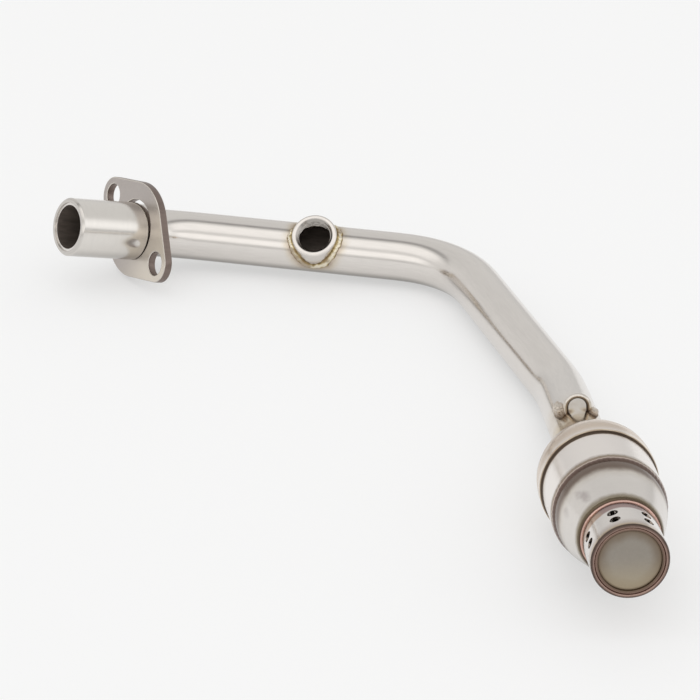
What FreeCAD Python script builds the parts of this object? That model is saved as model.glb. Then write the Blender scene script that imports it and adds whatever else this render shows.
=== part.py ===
import FreeCAD, Part
import math
import os
import Sketcher
from FreeCAD import Placement, Rotation, Vector

# Scooter exhaust front pipe: inlet sleeve with a loose port flange, bent pipe with a sensor boss and
# a spring hook, and a catalyst chamber that ends in a closed, perforated outlet tube.
# Origin: centre of the flange's front face. +X: along the long straight leg.
# +Z: up as the pipe lies on a table.

doc = FreeCAD.newDocument("scooter_exhaust_front_pipe")

# Driving dimensions, in millimetres and degrees
SIZES = {
    # bent pipe: each run goes from corner to corner of the centre line
    "pipe_od": 25.4, "pipe_wall": 1.2,
    "inlet_past_sleeve": 20.0, "inlet_heading": 44.0, "inlet_rise": -17.5,
    "leg_run": 153.0, "leg_rise": -1.3,
    "down_run": 152.0, "down_heading": -61.5, "down_rise": 0.0,
    "tail_run": 85.7, "tail_heading": -74.0, "tail_rise": 6.9,
    "inlet_bend_radius": 40.0, "leg_bend_radius": 50.0, "tail_bend_radius": 64.0,
    # inlet sleeve and its weld
    "sleeve_od": 30.5, "sleeve_length": 48.0, "sleeve_chamfer": 1.0, "sleeve_weld_leg": 2.2,
    "mouth_setback": 0.8, "seat_step": 0.5, "seat_lead": 0.5,
    # loose port flange
    "flange_place": 41.0, "flange_thickness": 4.5, "flange_clearance": 1.1, "flange_turn": 19.6,
    "stud_spacing": 56.2, "stud_hole_d": 12.4, "flange_lobe_radius": 10.1, "flange_middle_radius": 25.5,
    "flange_edge": 0.5,
    # oxygen-sensor boss
    "boss_place": 77.5, "boss_turn": 40.5, "boss_od": 24.0, "boss_height": 16.5, "boss_bore_d": 16.4,
    "boss_lead_in": 1.6, "boss_edge": 0.6, "boss_weld_leg": 2.6, "boss_weld_throat": 1.8,
    "boss_weld_low": 1.0,
    # spring hook, upstream of the chamber
    "hook_place": 24.0, "hook_turn": 3.0, "hook_wire_d": 2.6, "hook_gap": 8.4, "hook_height": 8.5,
    "hook_weld_offset": 1.6, "left_weld_length": 13.0, "left_weld_width": 7.0, "left_weld_height": 4.6,
    "left_weld_shift": 4.5, "right_weld_length": 8.0, "right_weld_width": 5.0, "right_weld_height": 2.8,
    "right_weld_shift": -0.5,
    # chamber: cap, shell and cup, in the order of the flow
    "sheet_wall": 1.2, "cap_wall": 1.8, "shell_od": 52.8, "shell_setback": 0.5, "shell_length": 28.3,
    "lap_step": 0.5, "lap_land": 0.5,
    "cap_neck_length": 3.0, "cap_cone_length": 21.5, "cap_length": 40.2, "cap_round": 35.0,
    "pipe_insert": 6.0, "cup_lap": 6.0, "cup_seat": 8.0, "cup_length": 31.0, "cup_end_od": 38.4,
    "cup_round": 30.0, "cup_lip": 1.5, "inlet_bead": 2.2, "seam_bead": 1.7, "rear_bead": 4.6, "outlet_bead": 1.8,
    # outlet tube, its holes and its closed end
    "tube_od": 34.8, "tube_wall": 1.5, "tube_reach": 27.5, "tube_inside": 18.0,
    "vent_d": 5.0, "vent_pitch": 7.1, "vent_place": 8.8, "vent_turn": 19.0, "vent_count": 7,
    "end_recess": 1.6, "end_thickness": 1.5, "end_bead": 1.0, "end_bead_width": 3.8,
    # catalyst in the shell
    "core_setback": 0.6, "mantle_wall": 1.0, "core_land": 0.9, "channel_web": 1.7, "channel_rings": 3,
}

sheet = doc.addObject("Spreadsheet::Sheet", "sizes")
for row, (name, number) in enumerate(SIZES.items(), start=1):
    sheet.set(f"A{row}", name)
    sheet.set(f"B{row}", str(number))
    sheet.setAlias(f"B{row}", name)
doc.recompute()


class Size:
    """A number that remembers the sheet expression it comes from."""

    def __init__(self, value, text):
        self.value, self.text = value, text

    def __add__(self, other):
        other = as_size(other)
        return Size(self.value + other.value, f"({self.text} + {other.text})")

    def __sub__(self, other):
        other = as_size(other)
        return Size(self.value - other.value, f"({self.text} - {other.text})")

    def __mul__(self, factor):
        return Size(self.value * factor, f"({self.text} * {factor})")

    def __truediv__(self, other):
        other = as_size(other)
        return Size(self.value / other.value, f"({self.text} / {other.text})")

    def __neg__(self):
        return Size(-self.value, f"(-{self.text})")


def as_size(number):
    return number if isinstance(number, Size) else Size(float(number), str(number))


def size(name):
    return Size(float(sheet.get(name)), f"sizes.{name}")


def bind(item, prop, amount):
    """Set a property and keep it tied to the sheet."""
    item.setExpression(prop, amount.text)


# Centre line of the pipe
UP = Vector(0, 0, 1)


def direction(heading, rise):
    """Unit vector of a run from its compass heading about +Z and its rise above level, in degrees."""
    turn, climb = math.radians(heading), math.radians(rise)
    return Vector(math.cos(climb) * math.cos(turn), math.cos(climb) * math.sin(turn), math.sin(climb))


def axes_frame(origin, along, upright=UP, turn=0.0):
    """Placement with local Z along a direction and local Y as near upright as it goes, turned about Z."""
    z_axis = Vector(along).normalize()
    x_axis = upright.cross(z_axis).normalize()
    y_axis = z_axis.cross(x_axis)
    return Placement(origin, Rotation(x_axis, y_axis, z_axis, "ZXY") * Rotation(Vector(0, 0, 1), turn))


inlet_way = direction(size("inlet_heading").value, size("inlet_rise").value)
leg_way = direction(0.0, size("leg_rise").value)
down_way = direction(size("down_heading").value, size("down_rise").value)
tail_way = direction(size("tail_heading").value, size("tail_rise").value)

# the loose flange stands on its edge, so its bore carries the sleeve at the bottom and clears it at the top
flange_centre = Vector(0, 0, 0)
flange_play = Vector(0, size("flange_clearance").value, 0)
flange_lift = axes_frame(flange_centre, inlet_way).Rotation.multVec(flange_play)
mouth = flange_centre - flange_lift - inlet_way * size("flange_place").value
inlet_run = size("sleeve_length") + size("inlet_past_sleeve")
inlet_corner = mouth + inlet_way * inlet_run.value
leg_corner = inlet_corner + leg_way * size("leg_run").value
tail_corner = leg_corner + down_way * size("down_run").value
cap_start = tail_corner + tail_way * size("tail_run").value

inlet_frame = axes_frame(mouth, inlet_way)
chamber_frame = axes_frame(cap_start, tail_way)


def bent_path(points, radii):
    """Wire of straight runs joined by tangent arcs at the inner points."""
    edges, last = [], points[0]
    for before, corner, after, radius in zip(points, points[1:], points[2:], radii):
        into, out = (corner - before).normalize(), (after - corner).normalize()
        half_turn = into.getAngle(out) / 2
        reach = radius * math.tan(half_turn)
        start, stop = corner - into * reach, corner + out * reach
        inward = (out - into).normalize()
        middle = corner + inward * (radius / math.cos(half_turn) - radius)
        edges += [Part.LineSegment(last, start).toShape(), Part.Arc(start, middle, stop).toShape()]
        last = stop
    edges.append(Part.LineSegment(last, points[-1]).toShape())
    return Part.Wire(edges)


# Sketch and feature helpers
def plane(body, role):
    return next(item for item in body.Origin.OriginFeatures if item.Role == role)


def new_sketch(body, name, role):
    sketch = body.newObject("Sketcher::SketchObject", name)
    sketch.AttachmentSupport = [(plane(body, role), "")]
    sketch.MapMode = "FlatFace"
    return sketch


def fix(sketch, kind, refs, amount):
    """Add a dimension to a sketch and tie it to the sheet."""
    index = sketch.addConstraint(Sketcher.Constraint(kind, *refs, amount.value))
    sketch.setExpression(f"Constraints[{index}]", amount.text)


def draw_outline(sketch, points):
    """Closed outline through (across, up) sizes, every corner fixed from the sketch's origin."""
    corners = [(as_size(across), as_size(up)) for across, up in points]
    spots = [Vector(across.value, up.value, 0) for across, up in corners]
    for start, stop in zip(spots, spots[1:] + spots[:1]):
        sketch.addGeometry(Part.LineSegment(start, stop), False)
    for index, (across, up) in enumerate(corners):
        following = (index + 1) % len(corners)
        sketch.addConstraint(Sketcher.Constraint("Coincident", index, 2, following, 1))
        for kind, axis, amount in (("DistanceX", -2, across), ("DistanceY", -1, up)):
            if amount.value == 0:
                sketch.addConstraint(Sketcher.Constraint("PointOnObject", index, 1, axis))
            else:
                fix(sketch, kind, (-1, 1, index, 1), amount)


def turned(name, outline, frame):
    """A round piece: an outline of (radius, height) spun about its own Z axis."""
    body = doc.addObject("PartDesign::Body", name)
    profile = new_sketch(body, f"{name}_profile", "XZ_Plane")
    draw_outline(profile, outline)
    spin = body.newObject("PartDesign::Revolution", f"{name}_spin")
    spin.Profile = profile
    spin.ReferenceAxis = (profile, ["V_Axis"])
    spin.Angle = 360
    body.Placement = frame
    doc.recompute()
    return body


def ring_edges(body, radius, height):
    """Names of the round edges of a body at a radius and height about its axis."""
    names = []
    for index, edge in enumerate(body.Tip.Shape.Edges, start=1):
        curve = edge.Curve
        if isinstance(curve, Part.Circle) and abs(curve.Radius - radius.value) < 1e-4 \
                and abs(curve.Center.z - as_size(height).value) < 1e-4:
            names.append(f"Edge{index}")
    return names


def soften(body, kind, edges, amount):
    """Fillet or chamfer on named edges of a body's last feature."""
    base = body.Tip
    feature = body.newObject(f"PartDesign::{kind}", f"{body.Name}_{kind.lower()}")
    feature.Base = (base, edges)
    bind(feature, "Radius" if kind == "Fillet" else "Size", amount)
    body.Tip = feature
    doc.recompute()
    return feature


def rod(name, radius, length, frame):
    """Plain cylinder, used as a cutting tool."""
    tool = doc.addObject("Part::Cylinder", name)
    bind(tool, "Radius", radius)
    bind(tool, "Height", length)
    tool.Placement = frame
    return tool


def cut(name, base, tool):
    item = doc.addObject("Part::Cut", name)
    item.Base, item.Tool = base, tool
    doc.recompute()
    return item


# Bent pipe with the sensor hole
pipe_r = size("pipe_od") / 2
pipe_bore_r = pipe_r - size("pipe_wall")

path = doc.addObject("Part::Feature", "pipe_path")
path.Shape = bent_path(
    [mouth + inlet_way * size("mouth_setback").value, inlet_corner, leg_corner, tail_corner,
     cap_start + tail_way * size("pipe_insert").value],
    [size("inlet_bend_radius").value, size("leg_bend_radius").value, size("tail_bend_radius").value])
path.Placement = Placement()


def pipe_sweep(name, radius):
    section = doc.addObject("Part::Circle", f"{name}_section")
    bind(section, "Radius", radius)
    section.Placement = axes_frame(path.Shape.Vertexes[0].Point, inlet_way)
    sweep = doc.addObject("Part::Sweep", name)
    sweep.Sections = [section]
    sweep.Spine = (path, [f"Edge{index + 1}" for index in range(len(path.Shape.Edges))])
    sweep.Solid = True
    return sweep


boss_foot = inlet_corner + leg_way * size("boss_place").value
boss_tilt = Rotation(leg_way, size("boss_turn").value)
boss_way = boss_tilt.multVec(UP - leg_way * UP.dot(leg_way)).normalize()
boss_frame = axes_frame(boss_foot, boss_way, leg_way)

pipe_tube = cut("pipe_tube", pipe_sweep("pipe_outside", pipe_r), pipe_sweep("pipe_inside", pipe_bore_r))
sensor_hole = rod("sensor_hole", size("boss_bore_d") / 2, size("pipe_od"), boss_frame)
header_pipe = cut("header_pipe", pipe_tube, sensor_hole)

# Inlet sleeve over the pipe's end, turned down where the flange sits, and its rear weld
sleeve_r = size("sleeve_od") / 2
seat_r = sleeve_r - size("seat_step")
seat_start = size("flange_place") - size("seat_lead")
sleeve_end = size("sleeve_length")
inlet_sleeve = turned("inlet_sleeve", [
    (pipe_r, 0), (sleeve_r, 0), (sleeve_r, seat_start), (seat_r, seat_start), (seat_r, sleeve_end),
    (pipe_r, sleeve_end)], inlet_frame)
soften(inlet_sleeve, "Chamfer", ring_edges(inlet_sleeve, sleeve_r, 0), size("sleeve_chamfer"))

weld_leg = size("sleeve_weld_leg")
sleeve_weld = turned("sleeve_weld", [
    (pipe_r, sleeve_end), (seat_r, sleeve_end), (pipe_r + weld_leg / 2, sleeve_end + weld_leg / 2),
    (pipe_r, sleeve_end + weld_leg)], inlet_frame)


# Loose port flange: it stands on its rounded middle and carries the sleeve on the bottom of its bore
def make_flange():
    body = doc.addObject("PartDesign::Body", "port_flange")
    sketch = new_sketch(body, "flange_outline", "XY_Plane")
    middle_r, lobe_r = size("flange_middle_radius"), size("flange_lobe_radius")
    reach = size("stud_spacing") / 2
    lean = math.acos((middle_r.value - lobe_r.value) / reach.value)

    def arc(x_centre, radius, start, stop):
        whole = Part.Circle(Vector(x_centre, 0, 0), Vector(0, 0, 1), radius)
        return sketch.addGeometry(Part.ArcOfCircle(whole, start, stop), False)

    def line(side, upper):
        touch = Vector(side * math.cos(lean), upper * math.sin(lean), 0)
        inner, outer = touch * middle_r.value, touch * lobe_r.value + Vector(side * reach.value, 0, 0)
        return sketch.addGeometry(Part.LineSegment(inner, outer), False)

    right = arc(reach.value, lobe_r.value, -lean, lean)
    top = arc(0, middle_r.value, lean, math.pi - lean)
    left = arc(-reach.value, lobe_r.value, math.pi - lean, math.pi + lean)
    bottom = arc(0, middle_r.value, math.pi + lean, 2 * math.pi - lean)
    top_right, top_left = line(1, 1), line(-1, 1)
    low_left, low_right = line(-1, -1), line(1, -1)
    for straight, inner, outer in ((top_right, (top, 1), (right, 2)), (top_left, (top, 2), (left, 1)),
                                   (low_left, (bottom, 1), (left, 2)), (low_right, (bottom, 2), (right, 1))):
        sketch.addConstraint(Sketcher.Constraint("Tangent", straight, 1, *inner))
        sketch.addConstraint(Sketcher.Constraint("Tangent", straight, 2, *outer))
    bore_r = seat_r + size("flange_clearance")
    bore = sketch.addGeometry(Part.Circle(Vector(0, 0, 0), Vector(0, 0, 1), bore_r.value), False)
    for centred in (top, bottom, bore):
        sketch.addConstraint(Sketcher.Constraint("Coincident", centred, 3, -1, 1))
    for side, lobe in ((1, right), (-1, left)):
        stud_spot = Vector(side * reach.value, 0, 0)
        stud_circle = Part.Circle(stud_spot, Vector(0, 0, 1), size("stud_hole_d").value / 2)
        hole = sketch.addGeometry(stud_circle, False)
        sketch.addConstraint(Sketcher.Constraint("Coincident", hole, 3, lobe, 3))
        sketch.addConstraint(Sketcher.Constraint("PointOnObject", lobe, 3, -1))
        fix(sketch, "DistanceX", (-1, 1, lobe, 3), reach * side)
        fix(sketch, "Radius", (hole,), size("stud_hole_d") / 2)
        fix(sketch, "Radius", (lobe,), lobe_r)
    fix(sketch, "Radius", (bore,), bore_r)
    fix(sketch, "Radius", (top,), middle_r)
    fix(sketch, "Radius", (bottom,), middle_r)
    pad = body.newObject("PartDesign::Pad", "flange_pad")
    pad.Profile = sketch
    bind(pad, "Length", size("flange_thickness"))
    doc.recompute()
    rims = [f"Edge{index}" for index, edge in enumerate(pad.Shape.Edges, start=1)
            if abs(edge.BoundBox.ZLength) < 1e-6 and not edge.isClosed()]
    soften(body, "Chamfer", rims, size("flange_edge"))
    body.Placement = axes_frame(flange_centre, inlet_way, UP, size("flange_turn").value)
    return body


port_flange = make_flange()

# Sensor boss, seated on the pipe, and its weld
boss_r, boss_top = size("boss_od") / 2, size("boss_height")
boss_bore_r = size("boss_bore_d") / 2
leg_frame = axes_frame(inlet_corner, leg_way)
leg_tool = rod("leg_tool", pipe_r, size("leg_run"), leg_frame)
weld_tool = rod("weld_tool", pipe_r + size("boss_weld_throat"), size("leg_run"), leg_frame)

boss_blank = turned("boss_blank", [
    (boss_bore_r, 0), (boss_r, 0), (boss_r, boss_top), (boss_bore_r, boss_top)], boss_frame)
soften(boss_blank, "Chamfer", ring_edges(boss_blank, boss_bore_r, boss_top), size("boss_lead_in"))
soften(boss_blank, "Fillet", ring_edges(boss_blank, boss_r, boss_top), size("boss_edge"))
sensor_boss = cut("sensor_boss", boss_blank, leg_tool)

boss_weld_r = boss_r + size("boss_weld_leg")
boss_weld_low = size("boss_weld_low")
boss_weld_blank = turned("boss_weld_blank", [
    (boss_r, boss_weld_low), (boss_weld_r, boss_weld_low), (boss_weld_r, pipe_r),
    (boss_r, pipe_r + size("boss_weld_throat"))], boss_frame)
boss_weld_band = doc.addObject("Part::Common", "boss_weld_band")
boss_weld_band.Base, boss_weld_band.Tool = boss_weld_blank, weld_tool
sensor_boss_weld = cut("sensor_boss_weld", boss_weld_band, leg_tool)

# Spring hook: a bent rod that stands across the pipe, with a weld at each foot
hook_foot = cap_start - tail_way * size("hook_place").value
hook_frame = axes_frame(hook_foot, tail_way, UP, size("hook_turn").value)
tail_tool = rod("tail_tool", pipe_r, size("tail_run"), axes_frame(tail_corner, tail_way))


def make_hook():
    body = doc.addObject("PartDesign::Body", "hook_rod")
    half = (size("hook_gap") + size("hook_wire_d")) / 2
    arch_centre = pipe_r + size("hook_height") - size("hook_wire_d") / 2 - half
    route = new_sketch(body, "hook_route", "XY_Plane")
    base_y = pipe_r / 2
    left = route.addGeometry(Part.LineSegment(Vector(-half.value, base_y.value, 0),
                                              Vector(-half.value, arch_centre.value, 0)), False)
    arch_circle = Part.Circle(Vector(0, arch_centre.value, 0), Vector(0, 0, 1), half.value)
    arch = route.addGeometry(Part.ArcOfCircle(arch_circle, 0, math.pi), False)
    right = route.addGeometry(Part.LineSegment(Vector(half.value, arch_centre.value, 0),
                                               Vector(half.value, base_y.value, 0)), False)
    route.addConstraint(Sketcher.Constraint("Tangent", left, 2, arch, 2))
    route.addConstraint(Sketcher.Constraint("Tangent", right, 1, arch, 1))
    route.addConstraint(Sketcher.Constraint("PointOnObject", arch, 3, -2))
    route.addConstraint(Sketcher.Constraint("Vertical", left))
    route.addConstraint(Sketcher.Constraint("Vertical", right))
    fix(route, "DistanceY", (-1, 1, arch, 3), arch_centre)
    fix(route, "Radius", (arch,), half)
    fix(route, "DistanceY", (-1, 1, left, 1), base_y)
    fix(route, "DistanceY", (-1, 1, right, 2), base_y)
    section = new_sketch(body, "hook_section", "XZ_Plane")
    section.AttachmentOffset = Placement(Vector(0, 0, -base_y.value), Rotation())
    wire_circle = Part.Circle(Vector(-half.value, 0, 0), Vector(0, 0, 1), size("hook_wire_d").value / 2)
    ring = section.addGeometry(wire_circle, False)
    section.addConstraint(Sketcher.Constraint("PointOnObject", ring, 3, -1))
    fix(section, "DistanceX", (-1, 1, ring, 3), -half)
    fix(section, "Radius", (ring,), size("hook_wire_d") / 2)
    pipe = body.newObject("PartDesign::AdditivePipe", "hook_pipe")
    pipe.Profile = section
    pipe.Spine = (route, ["Edge1", "Edge2", "Edge3"])
    body.Placement = hook_frame
    doc.recompute()
    return body, half


hook_rod, hook_half = make_hook()
spring_hook = cut("spring_hook", hook_rod, tail_tool)


def hook_weld(name, side, weld):
    """A weld lump outside one foot of the hook, cut to sit on the pipe and round the rod."""
    foot_x = side * (hook_half.value + size("hook_weld_offset").value)
    foot_y = math.sqrt(pipe_r.value ** 2 - foot_x ** 2)
    lump = doc.addObject("Part::Ellipsoid", f"{name}_lump")
    bind(lump, "Radius1", size(f"{weld}_height"))
    bind(lump, "Radius2", size(f"{weld}_width") / 2)
    bind(lump, "Radius3", size(f"{weld}_length") / 2)
    spot = hook_frame.multVec(Vector(foot_x, foot_y, -size(f"{weld}_shift").value))
    outward = hook_frame.Rotation.multVec(Vector(foot_x, foot_y, 0)).normalize()
    lump.Placement = axes_frame(spot, outward, tail_way)
    seated = cut(f"{name}_seated", lump, tail_tool)
    return cut(name, seated, hook_rod)


# seen from the outlet end
hook_weld_left = hook_weld("hook_weld_left", -1, "left_weld")
hook_weld_right = hook_weld("hook_weld_right", 1, "right_weld")

# Chamber: domed inlet cap, shell and outlet cup, lapped and welded
wall, cap_wall = size("sheet_wall"), size("cap_wall")
shell_r = size("shell_od") / 2
shell_bore_r = shell_r - wall
lap_r = shell_r - size("lap_step")
skirt_r = lap_r + cap_wall
neck_r = pipe_r + cap_wall
cone_start = size("cap_neck_length")
cone_end = cone_start + size("cap_cone_length")
front_seam = size("cap_length")
rear_seam = front_seam + size("shell_length")
cup_end = rear_seam + size("cup_length")
tube_end = cup_end + size("tube_reach")

# the shell starts past the rounded part of the cap
half_turn = math.atan((skirt_r.value - neck_r.value) / size("cap_cone_length").value) / 2
half_turn_text = f"atan(({skirt_r.text} - {neck_r.text}) / sizes.cap_cone_length) / 2"
cap_round = size("cap_round")
round_reach = Size(cap_round.value * math.tan(half_turn), f"({cap_round.text} * tan({half_turn_text}))")
shell_start = cone_end + round_reach + size("shell_setback")

chamber_inlet_cap = turned("chamber_inlet_cap", [
    (pipe_r, 0), (neck_r, 0), (neck_r, cone_start), (skirt_r, cone_end), (skirt_r, front_seam),
    (lap_r, front_seam), (lap_r, cone_end), (pipe_r, cone_start)], chamber_frame)
soften(chamber_inlet_cap, "Fillet", ring_edges(chamber_inlet_cap, skirt_r, cone_end), cap_round)
soften(chamber_inlet_cap, "Fillet", ring_edges(chamber_inlet_cap, lap_r, cone_end), cap_round - cap_wall)

bead = size("inlet_bead")
inlet_weld = turned("inlet_weld", [
    (pipe_r, 0), (pipe_r, -bead), (neck_r, -bead * 0.6), (neck_r + bead * 0.3, 0),
    (neck_r + bead * 0.2, bead * 0.4), (neck_r, bead * 0.5), (neck_r, 0)], chamber_frame)

# the shell is swaged down a little where it enters the cap and takes the weld
bead = size("seam_bead")
lap_end = front_seam + bead + size("lap_land")
chamber_shell = turned("chamber_shell", [
    (shell_bore_r, shell_start), (lap_r, shell_start), (lap_r, lap_end), (shell_r, lap_end),
    (shell_r, rear_seam), (shell_bore_r, rear_seam)], chamber_frame)

front_seam_weld = turned("front_seam_weld", [
    (lap_r, front_seam), (skirt_r - bead * 0.1, front_seam),
    (skirt_r - bead * 0.1, front_seam + bead * 0.3), (lap_r + bead * 0.25, front_seam + bead * 0.75),
    (lap_r, front_seam + bead)], chamber_frame)

cup_r, cup_end_r = shell_bore_r, size("cup_end_od") / 2
tube_r = size("tube_od") / 2
seat_end = rear_seam + size("cup_seat")
outlet_cup = turned("outlet_cup", [
    (cup_r - wall, rear_seam - size("cup_lap")), (cup_r, rear_seam - size("cup_lap")), (cup_r, seat_end),
    (cup_end_r, cup_end), (tube_r, cup_end), (tube_r, cup_end - size("cup_lip")), (cup_r - wall, seat_end)],
    chamber_frame)
cup_round = size("cup_round")
soften(outlet_cup, "Fillet", ring_edges(outlet_cup, cup_r, seat_end), cup_round)
soften(outlet_cup, "Fillet", ring_edges(outlet_cup, cup_r - wall, seat_end), cup_round - wall)

bead = size("rear_bead")
rear_seam_weld = turned("rear_seam_weld", [
    (cup_r, rear_seam), (shell_r, rear_seam), (shell_r - wall * 0.1, rear_seam + bead * 0.4),
    (cup_r + wall * 0.5, rear_seam + bead * 0.75), (cup_r, rear_seam + bead)], chamber_frame)

bead = size("outlet_bead")
outlet_weld = turned("outlet_weld", [
    (tube_r, cup_end), (tube_r + bead, cup_end), (tube_r + bead * 0.9, cup_end + bead * 0.35),
    (tube_r + bead * 0.45, cup_end + bead * 0.75), (tube_r, cup_end + bead)], chamber_frame)


# Outlet tube with its rows of vents
def make_outlet_tube():
    bore_r, stop = tube_r - size("tube_wall"), tube_end - size("end_bead")
    start = cup_end - size("tube_inside")
    body = turned("outlet_tube", [(bore_r, start), (tube_r, start), (tube_r, stop), (bore_r, stop)],
                  axes_frame(cap_start, tail_way, UP, size("vent_turn").value))
    before = body.Tip.Shape.Volume
    sketch = new_sketch(body, "vent_pair", "XZ_Plane")
    for place in (size("vent_place"), size("vent_place") + size("vent_pitch")):
        height = tube_end - place
        vent_circle = Part.Circle(Vector(0, height.value, 0), Vector(0, 0, 1), size("vent_d").value / 2)
        hole = sketch.addGeometry(vent_circle, False)
        sketch.addConstraint(Sketcher.Constraint("PointOnObject", hole, 3, -2))
        fix(sketch, "DistanceY", (-1, 1, hole, 3), height)
        fix(sketch, "Radius", (hole,), size("vent_d") / 2)
    vents = body.newObject("PartDesign::Pocket", "vent_cut")
    vents.Profile = sketch
    bind(vents, "Length", size("tube_od"))
    vents.Reversed = False
    doc.recompute()
    ring = body.newObject("PartDesign::PolarPattern", "vent_ring")
    ring.Originals = [vents]
    ring.Axis = (plane(body, "Z_Axis"), [""])
    ring.Angle = 360
    ring.setExpression("Occurrences", "sizes.vent_count")
    body.Tip = ring
    doc.recompute()
    assert ring.Shape.Volume < before - 1, "the vents cut nothing"
    return body


outlet_tube = make_outlet_tube()

# Closed end of the tube: a disc set back in it, under a rounded weld
tube_bore_r = tube_r - size("tube_wall")
face = tube_end - size("end_recess")
end_cap = turned("end_cap", [(0, face - size("end_thickness")), (tube_bore_r, face - size("end_thickness")),
                             (tube_bore_r, face), (0, face)], chamber_frame)
rim, width = size("end_bead"), size("end_bead_width")
end_cap_weld = turned("end_cap_weld", [
    (tube_bore_r, face), (tube_bore_r, tube_end - rim), (tube_r, tube_end - rim),
    (tube_r - rim * 0.2, tube_end - rim * 0.4), (tube_r - rim * 0.8, tube_end),
    (tube_bore_r, tube_end - rim * 0.1), (tube_r - width * 0.75, tube_end - rim),
    (tube_r - width, face)], chamber_frame)

# Catalyst: a channelled core in a ring that sits in the shell
core_start = shell_start + size("core_setback")
core_end = rear_seam - size("cup_lap") - size("core_setback")
core_r = shell_bore_r - size("mantle_wall")
catalyst_mantle = turned("catalyst_mantle", [
    (core_r, core_start), (shell_bore_r, core_start), (shell_bore_r, core_end), (core_r, core_end)],
    chamber_frame)


# rings of channels fill the core, with a web between them and a land at its edge
channel_web = size("channel_web")
channel_pitch = (core_r - size("core_land") + channel_web / 2) / (size("channel_rings") + 0.5)
channel_r = (channel_pitch - channel_web) / 2


def make_core():
    body = turned("catalyst_core", [(0, core_start), (core_r, core_start), (core_r, core_end), (0, core_end)],
                  chamber_frame)
    for ring_number in range(int(size("channel_rings").value) + 1):
        radius = channel_pitch * ring_number
        sketch = new_sketch(body, f"channel_{ring_number}", "XY_Plane")
        channel_circle = Part.Circle(Vector(radius.value, 0, 0), Vector(0, 0, 1), channel_r.value)
        hole = sketch.addGeometry(channel_circle, False)
        sketch.addConstraint(Sketcher.Constraint("PointOnObject", hole, 3, -1))
        if ring_number:
            fix(sketch, "DistanceX", (-1, 1, hole, 3), radius)
        else:
            sketch.addConstraint(Sketcher.Constraint("PointOnObject", hole, 3, -2))
        fix(sketch, "Radius", (hole,), channel_r)
        channel = body.newObject("PartDesign::Pocket", f"channel_cut_{ring_number}")
        channel.Profile = sketch
        channel.Reversed = True
        bind(channel, "Length", tube_end)
        doc.recompute()
        if ring_number:
            ring = body.newObject("PartDesign::PolarPattern", f"channel_ring_{ring_number}")
            ring.Originals = [channel]
            ring.Axis = (plane(body, "Z_Axis"), [""])
            ring.Angle = 360
            ring.Occurrences = 6 * ring_number
            body.Tip = ring
            doc.recompute()
    return body


catalyst_core = make_core()

# Check every object, then write one file for each piece
NODES = [inlet_sleeve, sleeve_weld, port_flange, header_pipe, sensor_boss, sensor_boss_weld, spring_hook,
         hook_weld_left, hook_weld_right, chamber_inlet_cap, inlet_weld, chamber_shell, front_seam_weld,
         rear_seam_weld, outlet_cup, outlet_weld, outlet_tube, end_cap, end_cap_weld, catalyst_mantle,
         catalyst_core]

doc.recompute()
for item in doc.Objects:
    failed = [state for state in item.State if state in ("Invalid", "Error")]
    assert not failed, f"{item.Name} failed: {failed}"
os.makedirs("parts", exist_ok=True)
for node in NODES:
    node.Label = node.Name
    shape = node.Shape
    assert not shape.isNull() and shape.isValid(), f"{node.Name} has no valid shape"
    assert len(shape.Solids) == 1, f"{node.Name} has {len(shape.Solids)} solids"
    shape.exportStep(f"parts/{node.Label}.step")
    print(f"{node.Label}: {shape.Volume:.0f} mm3")
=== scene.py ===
import bisect
import math

import bmesh
import bpy
from mathutils import Matrix, Quaternion, Vector, noise


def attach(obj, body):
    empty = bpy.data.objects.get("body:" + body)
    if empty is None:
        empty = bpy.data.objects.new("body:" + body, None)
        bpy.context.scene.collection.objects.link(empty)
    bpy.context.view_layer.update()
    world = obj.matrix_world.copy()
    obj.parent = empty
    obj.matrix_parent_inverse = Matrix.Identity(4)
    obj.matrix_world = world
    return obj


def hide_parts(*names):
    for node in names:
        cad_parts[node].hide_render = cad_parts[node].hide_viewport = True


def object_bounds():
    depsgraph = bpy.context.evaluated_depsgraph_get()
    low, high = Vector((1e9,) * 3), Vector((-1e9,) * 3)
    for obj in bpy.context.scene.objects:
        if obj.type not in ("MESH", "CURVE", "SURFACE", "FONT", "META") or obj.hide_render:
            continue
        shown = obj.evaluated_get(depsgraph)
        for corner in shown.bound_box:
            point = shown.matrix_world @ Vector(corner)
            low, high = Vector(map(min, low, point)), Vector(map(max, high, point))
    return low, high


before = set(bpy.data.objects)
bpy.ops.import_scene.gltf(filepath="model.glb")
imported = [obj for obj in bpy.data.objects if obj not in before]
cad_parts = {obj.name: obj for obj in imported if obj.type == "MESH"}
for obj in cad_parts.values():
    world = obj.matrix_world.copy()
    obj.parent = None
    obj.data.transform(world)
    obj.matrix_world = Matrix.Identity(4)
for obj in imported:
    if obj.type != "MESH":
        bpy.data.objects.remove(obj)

cad_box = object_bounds()

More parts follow.
